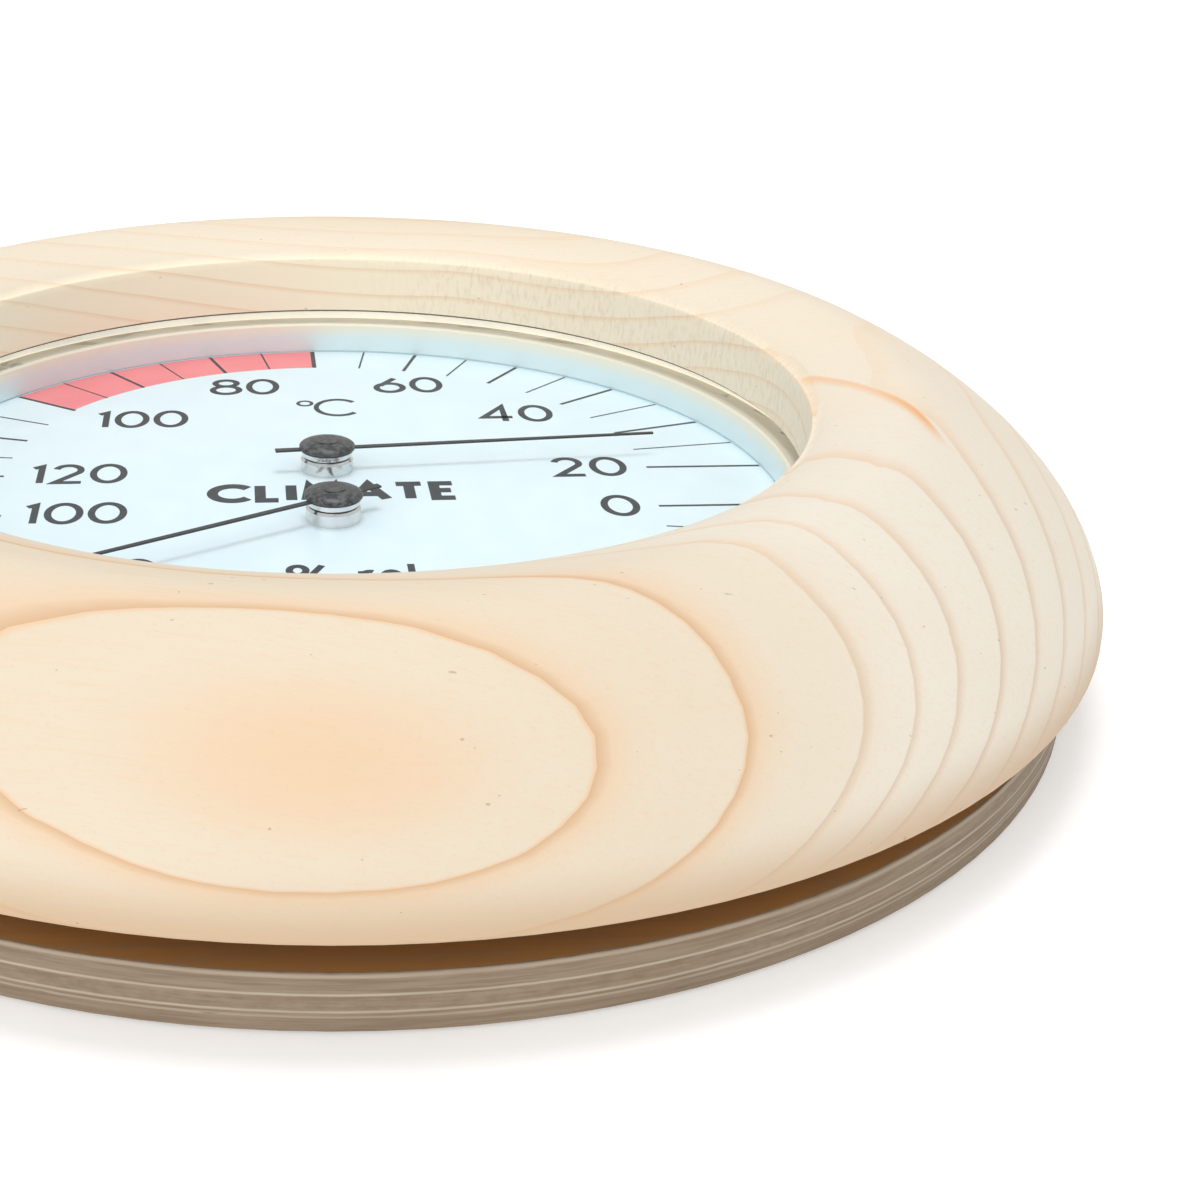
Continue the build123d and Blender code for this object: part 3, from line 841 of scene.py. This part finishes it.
def glyphs() -> dict[str, Glyph]:
    """The plain geometric letters and numerals the dial needs."""
    nought = arc(0.33, 0.5, 0.33, 0.5, 0, 360)[:-1]
    two = arc(0.31, 0.72, 0.27, 0.28, 165, -28, 16) + [(0.05, 0.0), (0.62, 0.0)]
    six = [(0.48, 1.0), (0.10, 0.46)]
    return {
        "0": Glyph(0.66, loops=(nought,)),
        "1": Glyph(0.20, (((0.0, 0.86), (0.17, 0.97), (0.17, 0.0)),)),
        "2": Glyph(0.62, (two,)),
        "4": Glyph(0.70, (((0.52, 0.0), (0.52, 1.0), (0.02, 0.26), (0.70, 0.26)),)),
        "6": Glyph(0.66, (six,), (arc(0.33, 0.31, 0.32, 0.31, 0, 360)[:-1],)),
        "8": Glyph(0.64, (), (
            arc(0.32, 0.275, 0.32, 0.275, 0, 360)[:-1],
            arc(0.32, 0.775, 0.26, 0.225, 0, 360)[:-1],
        )),
        "C": Glyph(0.80, (arc(0.46, 0.5, 0.46, 0.5, 42, 318, 30),)),
        "%": Glyph(0.80, (((0.16, 0.0), (0.64, 1.0)),), (
            arc(0.17, 0.78, 0.16, 0.20, 0, 360, 20)[:-1],
            arc(0.63, 0.22, 0.16, 0.20, 0, 360, 20)[:-1],
        )),
        "r": Glyph(0.30, (((0.05, 0.0), (0.05, 0.70)), arc(0.27, 0.45, 0.22, 0.24, 170, 70, 8))),
        "e": Glyph(0.52, ([(0.04, 0.35), (0.50, 0.35)] + arc(0.27, 0.35, 0.24, 0.34, 0, 315, 24),)),
        "l": Glyph(0.10, (((0.05, 0.0), (0.05, 1.0)),)),
        "L": Glyph(0.46, (((0.05, 1.0), (0.05, 0.0), (0.46, 0.0)),)),
        "I": Glyph(0.12, (((0.06, 0.0), (0.06, 1.0)),)),
        "M": Glyph(0.84, (((0.04, 0.0), (0.12, 1.0), (0.42, 0.12), (0.72, 1.0), (0.80, 0.0)),)),
        "A": Glyph(0.80, (((0.02, 0.0), (0.40, 1.0), (0.78, 0.0)), ((0.17, 0.33), (0.63, 0.33)))),
        "T": Glyph(0.58, (((0.0, 1.0), (0.58, 1.0)), ((0.29, 1.0), (0.29, 0.0)))),
        "E": Glyph(0.48, (
            ((0.48, 1.0), (0.05, 1.0), (0.05, 0.0), (0.48, 0.0)),
            ((0.05, 0.52), (0.42, 0.52)),
        )),
    }


@dataclass
class Lettering:
    """Draws words of flat strokes."""

    low: float
    high: float
    gap: float = 0.24
    layer_step: float = 0.004
    alphabet: dict[str, Glyph] = field(default_factory=glyphs)

    def length(self, word: str, width: float) -> float:
        """The length of a word whose letters have a given unit of width."""
        widths = sum(self.alphabet[c].width for c in word)
        return (widths + self.gap * (len(word) - 1)) * width

    def write(
        self, bm: bmesh.types.BMesh, word: str, centre: Point, height: float, stroke: float,
        stretch: float = 1.0,
    ) -> None:
        """Adds a word to a mesh.

        Args:
            bm: The mesh.
            word: What to write.
            centre: Its middle, in millimetres.
            height: Height of its capitals, over all.
            stroke: Width of its strokes.
            stretch: How much wider than plain its letters are.
        """
        size = height - stroke
        wide = size * stretch
        x = centre[0] - self.length(word, wide) / 2
        y = centre[1] - size / 2
        for letter in word:
            glyph = self.alphabet[letter]
            strokes = [(path, False) for path in glyph.open_strokes]
            strokes += [(path, True) for path in glyph.loops]
            for layer, (path, closed) in enumerate(strokes):
                points = [(x + u * wide, y + v * size) for u, v in path]
                ribbon(bm, points, stroke, self.low, self.high + layer * self.layer_step, closed)
            x += (glyph.width + self.gap) * wide


def piece(
    name: str, draw: Callable[[bmesh.types.BMesh], None], material: bpy.types.Material
) -> bpy.types.Object:
    """Makes a mesh piece and puts it in the scene.

    Args:
        name: Its name.
        draw: Fills its mesh.
        material: Its finish.

    Returns:
        The new object.
    """
    bm = bmesh.new()
    draw(bm)
    bmesh.ops.recalc_face_normals(bm, faces=bm.faces)
    mesh = bpy.data.meshes.new(name)
    bm.to_mesh(mesh)
    bm.free()
    mesh.materials.append(material)
    made = bpy.data.objects.new(name, mesh)
    bpy.context.scene.collection.objects.link(made)
    return made


def dress(names: Sequence[str], material: bpy.types.Material) -> None:
    """Gives CAD pieces a finish.

    Args:
        names: The pieces.
        material: The finish.
    """
    for name in names:
        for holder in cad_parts[name].material_slots:
            holder.material = material
        LOG.info("dressed %s in %s", name, material.name)


@dataclass(frozen=True)
class WoodenBody:
    """The turned ring, the plywood behind it and what joins them."""

    spacer: Coat = Coat("spacer_wood", (0.34, 0.22, 0.12), (0.28, 0.17, 0.09), 0.7, 0.05)
    steel: Metal = Metal("zinc_steel", grey(0.60), (0.45, 0.44, 0.42), 0.34)

    def build(self) -> None:
        """Dresses the wooden pieces and their screws."""
        dress(["front_ring"], TurnedSoftwood().material())
        dress(["back_plate"], BirchPly().material())
        dress(["ring_spacers"], self.spacer.material())
        dress(["ring_screws", "clip_screws", "bridge_screws", "case_clips"], self.steel.material())


@dataclass(frozen=True)
class Glazing:
    """The glass, its gasket, the metal wall round the dial and the case behind it."""

    rubber: Coat = Coat("gasket_rubber", (0.17, 0.13, 0.09), (0.22, 0.17, 0.12), 0.6, 0.02)
    sheet: Metal = Metal("case_sheet", (0.66, 0.67, 0.68), (0.55, 0.56, 0.57), 0.38)

    def build(self) -> None:
        """Dresses the glazing pieces."""
        dress(["glass_pane"], ClearPane().material())
        dress(["glass_gasket"], self.rubber.material())
        dress(["bezel_ring"], BezelWall().material())
        dress(["instrument_case"], self.sheet.material())


@dataclass
class Dial:
    """The dial plate and everything printed on it."""

    plate: str = "dial_plate"
    radius: float = 48.9
    inner: float = 36.7
    scale_y: float = 5.7
    ink_height: float = 0.03
    ink_sunk: float = 0.01
    step_degrees: float = 1.8
    marks: int = 21
    mark_step: int = 5
    major: float = 0.42
    minor: float = 0.22
    middle: float = 0.55
    heat_reach: float = 0.9
    damp_reach: float = 1.8
    reach_power: int = 6
    band_start: float = 90.0
    band_end: float = 144.0
    band_steps: int = 60
    numeral: float = 5.9
    stroke: float = 0.78
    heat: tuple[Label, ...] = (
        ("20", (29.3, 6.1)), ("40", (23.5, 24.0)), ("60", (11.4, 35.1)),
        ("80", (-9.0, 35.1)), ("100", (-21.3, 23.7)), ("120", (-27.6, 6.1)),
    )
    damp: tuple[Label, ...] = (
        ("0", (30.8, -5.4)), ("20", (23.3, -22.5)), ("40", (10.6, -34.6)),
        ("60", (-9.6, -34.6)), ("80", (-22.3, -20.4)), ("100", (-27.2, -5.3)),
    )
    degree_place: Point = (-1.7, 28.6)
    degree_radius: float = 0.85
    degree_stroke: float = 0.40
    celsius_place: Point = (1.9, 27.0)
    celsius_height: float = 6.3
    celsius_stroke: float = 0.62
    percent_place: Point = (-3.0, -22.4)
    relative_place: Point = (4.6, -22.4)
    relative_stretch: float = 0.74
    unit_height: float = 5.9
    unit_stroke: float = 0.72
    word: str = "CLIMATE"
    word_place: Point = (0.35, -0.4)
    word_height: float = 5.4
    word_stroke: float = 1.2
    word_stretch: float = 1.13
    paint: Coat = Coat("dial_paint", (0.77, 0.905, 0.965), (0.79, 0.92, 0.97), 0.34, 0.006)

    def __post_init__(self) -> None:
        """Takes the height of the dial's face from the frame."""
        self.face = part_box(self.plate)[1][2] / MM
        self.low = self.face - self.ink_sunk
        self.high = self.face + self.ink_height
        self.letters = Lettering(self.low, self.high)

    def rim(self, angle: float, centre_y: float) -> float:
        """Distance from a scale's centre to the edge of the dial.

        Args:
            angle: Direction in degrees.
            centre_y: The scale's centre.

        Returns:
            The distance in millimetres.
        """
        sine = math.sin(math.radians(angle))
        return -centre_y * sine + math.sqrt((centre_y * sine) ** 2 + self.radius**2 - centre_y**2)

    def tick(
        self, bm: bmesh.types.BMesh, angle: float, centre_y: float, width: float, extra: float
    ) -> None:
        """Adds one scale mark.

        Args:
            bm: The mesh.
            angle: Its direction in degrees.
            centre_y: The scale's centre.
            width: Its width.
            extra: How much further in it reaches when it lies across the dial.
        """
        c, s = math.cos(math.radians(angle)), math.sin(math.radians(angle))
        inner = self.inner - extra * abs(c) ** self.reach_power
        path = [(c * r, centre_y + s * r) for r in (inner, self.rim(angle, centre_y))]
        ribbon(bm, path, width, self.low, self.high)

    def thermometer_marks(self, bm: bmesh.types.BMesh) -> None:
        """Adds the temperature marks, one each five degrees from 20 to 120."""
        for index in range(self.marks):
            width = self.minor if index % 2 else self.major
            if index == self.marks // 2:
                width = self.middle
            angle = index * self.mark_step * self.step_degrees
            self.tick(bm, angle, self.scale_y, width, self.heat_reach)

    def humidity_marks(self, bm: bmesh.types.BMesh) -> None:
        """Adds the humidity marks, one each five per cent from 0 to 100."""
        for index in range(self.marks):
            width = self.minor if index % 2 else self.major
            angle = -index * self.mark_step * self.step_degrees
            self.tick(bm, angle, -self.scale_y, width, self.damp_reach)

    def danger_band(self, bm: bmesh.types.BMesh) -> None:
        """Adds the red band from 70 to 100 degrees."""
        high = self.face + self.ink_height * 0.5
        rows = []
        for i in range(self.band_steps + 1):
            angle = self.band_start + (self.band_end - self.band_start) * i / self.band_steps
            c, s = math.cos(math.radians(angle)), math.sin(math.radians(angle))
            reach = (self.inner, self.rim(angle, self.scale_y))
            corners = [(r, h) for r in reach for h in (self.low, high)]
            rows.append(
                [bm.verts.new((c * r * MM, (self.scale_y + s * r) * MM, h * MM)) for r, h in corners]
            )
        ring = (0, 1, 3, 2)
        for near, far in zip(rows, rows[1:]):
            for a, b in zip(ring, ring[1:] + ring[:1]):
                bm.faces.new((near[a], near[b], far[b], far[a]))
        bm.faces.new([rows[0][k] for k in reversed(ring)])
        bm.faces.new([rows[-1][k] for k in ring])

    def numerals(self, bm: bmesh.types.BMesh) -> None:
        """Adds the numerals and units."""
        for word, centre in self.heat + self.damp:
            self.letters.write(bm, word, centre, self.numeral, self.stroke)
        self.letters.write(bm, "C", self.celsius_place, self.celsius_height, self.celsius_stroke)
        sign = arc(*self.degree_place, self.degree_radius, self.degree_radius, 0, 360, 24)[:-1]
        ribbon(bm, sign, self.degree_stroke, self.low, self.high, True)
        self.letters.write(bm, "%", self.percent_place, self.unit_height, self.unit_stroke)
        self.letters.write(
            bm, "rel", self.relative_place, self.unit_height, self.unit_stroke, self.relative_stretch
        )

    def name_word(self, bm: bmesh.types.BMesh) -> None:
        """Adds the bold word between the two hubs."""
        self.letters.write(
            bm, self.word, self.word_place, self.word_height, self.word_stroke, self.word_stretch
        )

    def build(self) -> None:
        """Dresses the plate and makes the printed pieces."""
        dress([self.plate], self.paint.material())
        scale = Ink.SCALE.value.material()
        danger = Ink.DANGER.value.material()
        prints = (
            ("thermometer_marks", self.thermometer_marks, scale),
            ("humidity_marks", self.humidity_marks, scale),
            ("danger_band", self.danger_band, danger),
            ("numerals", self.numerals, scale),
            ("dial_word", self.name_word, scale),
        )
        for name, draw, material in prints:
            made = piece(name, draw, material)
            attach(made, BODY)
            LOG.info("printed %s", name)


class Sensor(Enum):
    """The two instruments."""

    THERMOMETER = "thermometer"
    HYGROMETER = "hygrometer"


@dataclass
class Movement:
    """One instrument: collar, collet, pointer, cap, arbor, coil and post."""

    sensor: Sensor
    strip: Metal
    turns: int = 5
    radius: float = 5.0
    thickness: float = 0.30
    height: float = 0.62
    bottom: float = 5.9
    top: float = 10.4
    arm_radius: float = 1.85
    arm_turn: float = 0.02
    crank_share: float = 0.7
    crank_turn: float = 0.05
    post: float = 5.15
    facets: int = 48
    held: float = 0.3

    def name(self, part: str) -> str:
        """The full name of one of its parts."""
        return f"{self.sensor.value}_{part}"

    def coil_mesh(self, bm: bmesh.types.BMesh) -> None:
        """Adds the helical strip with its arm and its tail, as one closed band.

        Args:
            bm: The mesh.
        """
        low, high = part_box(self.name("arbor"))
        cx, cy = (low[0] + high[0]) / 2 / MM, (low[1] + high[1]) / 2 / MM
        side = 1 if self.sensor is Sensor.THERMOMETER else -1
        stations = [(self.post, 0.0, self.bottom)]
        count = self.turns * self.facets
        for i in range(count + 1):
            turn = 2 * math.pi * i / self.facets
            rise = self.bottom + (self.top - self.bottom) * i / count
            stations.append((self.radius, turn, rise))
        last = 2 * math.pi * self.turns
        stations.append((self.radius * self.crank_share, last + self.crank_turn, self.top))
        stations.append((self.arm_radius, last + self.arm_turn, self.top))
        points = [
            (cx + side * r * math.cos(a), cy + side * r * math.sin(a), h) for r, a, h in stations
        ]
        up = self.height / 2
        corners = ((-1, -1), (1, -1), (1, 1), (-1, 1))
        rings = []
        for i, (x, y, h) in enumerate(points):
            ahead = points[min(i + 1, len(points) - 1)]
            back = points[max(i - 1, 0)]
            along = Vector((ahead[0] - back[0], ahead[1] - back[1])).normalized()
            out = Vector((along.y, -along.x)) * self.thickness / 2
            rings.append(
                [
                    bm.verts.new(((x + out.x * a) * MM, (y + out.y * a) * MM, (h + up * b) * MM))
                    for a, b in corners
                ]
            )
        for near, far in zip(rings, rings[1:]):
            for a in range(4):
                b = (a + 1) % 4
                bm.faces.new((near[a], near[b], far[b], far[a]))
        bm.faces.new(list(reversed(rings[0])))
        bm.faces.new(rings[-1])

    def build(
        self, nickel: bpy.types.Material, brass: bpy.types.Material, steel: bpy.types.Material,
        paint: bpy.types.Material, plastic: bpy.types.Material,
    ) -> None:
        """Dresses the turning parts and makes the coil.

        Args:
            nickel: Finish of the collar and collet.
            brass: Finish of the post.
            steel: Finish of the arbor.
            paint: Finish of the pointer.
            plastic: Finish of the cap.
        """
        dress([self.name("collar"), self.name("collet")], nickel)
        dress([self.name("coil_post")], brass)
        dress([self.name("arbor")], steel)
        dress([self.name("pointer")], paint)
        dress([self.name("cap")], plastic)
        coil = piece(self.name("coil_strip"), self.coil_mesh, self.strip.material())
        low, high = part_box(self.name("arbor"))
        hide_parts(self.name("coil"))
        self.name("movement")
        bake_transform(coil)
        LOG.info("wound %s", coil.name)


@dataclass(frozen=True)
class Studio:
    """Pale floor, soft light and the camera, in metres and watts."""

    eye: Place = (-0.0095, -0.1943, 0.0913)
    lens: float = 57.8
    sensor: float = 36.0
    shift: float = 0.2254
    nearest: float = 0.01
    roll_degrees: float = 0.2
    aim_height: float = 0.01
    sky: float = 0.74
    floor_size: float = 4.0
    floor_level: float = -0.0002
    floor_dark: float = 0.79
    floor_light: float = 0.82
    floor_rough: float = 0.9
    floor_shine: float = 0.1
    floor_glow: float = 0.30
    fibre_scale: float = 0.2
    lamps: tuple[Lamp, ...] = (
        ("overhead_softbox", (0.02, 0.12, 0.95), 0.34, 3.2),
        ("front_fill", (-0.5, -0.85, 0.5), 1.0, 4.6),
    )

    def floor(self) -> None:
        """Lays the floor."""
        bm = bmesh.new()
        bmesh.ops.create_grid(bm, x_segments=1, y_segments=1, size=self.floor_size)
        mesh = bpy.data.meshes.new("floor")
        bm.to_mesh(mesh)
        bm.free()
        ground = bpy.data.objects.new("floor", mesh)
        ground.location.z = self.floor_level
        bpy.context.scene.collection.objects.link(ground)
        board = Board("floor_paper")
        fibres = board.noise(board.vector(*board.position()), self.fibre_scale, 2.0)
        look = {
            "Base Color": board.mix(grey(self.floor_dark), grey(self.floor_light), fibres),
            "Roughness": self.floor_rough,
            "Specular IOR Level": self.floor_shine,
            "Emission Color": grey(1.0),
            "Emission Strength": self.floor_glow,
        }
        mesh.materials.append(board.surface(look))

    def lamp(self, name: str, place: Place, size: float, power: float) -> None:
        """Adds a square soft light aimed at the part.

        Args:
            name: Its name.
            place: Where it hangs, in metres.
            size: Its side, in metres.
            power: Its power in watts.
        """
        data = bpy.data.lights.new(name, "AREA")
        data.shape = "SQUARE"
        data.size = size
        data.energy = power
        lamp = bpy.data.objects.new(name, data)
        lamp.location = place
        aim = Vector((0, 0, self.aim_height)) - Vector(place)
        lamp.rotation_euler = aim.to_track_quat("-Z", "Y").to_euler()
        bpy.context.scene.collection.objects.link(lamp)

    def camera(self) -> None:
        """Sets up the camera."""
        data = bpy.data.cameras.new("camera")
        data.lens = self.lens
        data.sensor_width = self.sensor
        data.shift_x = self.shift
        data.clip_start = self.nearest
        camera = bpy.data.objects.new("camera", data)
        camera.location = self.eye
        aim = (-Vector(self.eye)).to_track_quat("-Z", "Y")
        roll = Quaternion((0.0, 0.0, 1.0), math.radians(self.roll_degrees))
        camera.rotation_euler = (aim @ roll).to_euler()
        bpy.context.scene.collection.objects.link(camera)
        bpy.context.scene.camera = camera

    def build(self) -> None:
        """Makes the whole studio."""
        scene = bpy.context.scene
        scene.view_settings.view_transform = "Standard"
        world = bpy.data.worlds.new("studio")
        world.use_nodes = True
        backdrop = world.node_tree.nodes["Background"]
        backdrop.inputs["Color"].default_value = (*grey(1.0), 1.0)
        backdrop.inputs["Strength"].default_value = self.sky
        scene.world = world
        self.floor()
        for lamp in self.lamps:
            self.lamp(*lamp)
        self.camera()


def main() -> None:
    """Builds every sub-assembly in order."""
    logging.basicConfig(level=logging.INFO)
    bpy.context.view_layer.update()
    Studio().build()
    WoodenBody().build()
    Glazing().build()
    Dial().build()
    nickel = Metal("nickel", (0.78, 0.78, 0.77), (0.68, 0.68, 0.67), 0.20).material()
    brass = Metal("brass", (0.78, 0.60, 0.28), (0.62, 0.46, 0.22), 0.32).material()
    steel = Metal("turned_steel", grey(0.62), grey(0.5), 0.28).material()
    paint = Coat("pointer_paint", grey(0.014), grey(0.022), 0.42, 0.004).material()
    # Painted highlights: the cap's lighter grey flecks stand in for the speckled glints on its
    # textured top.
    plastic = Coat("cap_plastic", grey(0.006), grey(0.085), 0.38, 0.09, 0.5, 1.8).material()
    dress(["movement_bridge", "bridge_pillars"], brass)
    strips = {
        Sensor.THERMOMETER: Metal("bimetal_strip", (0.62, 0.55, 0.44), (0.50, 0.44, 0.36), 0.3),
        Sensor.HYGROMETER: Metal("humidity_strip", (0.66, 0.47, 0.27), (0.55, 0.38, 0.22), 0.36),
    }
    for sensor, strip in strips.items():
        Movement(sensor, strip).build(nickel, brass, steel, paint, plastic)


if __name__ == "__main__":
    main()
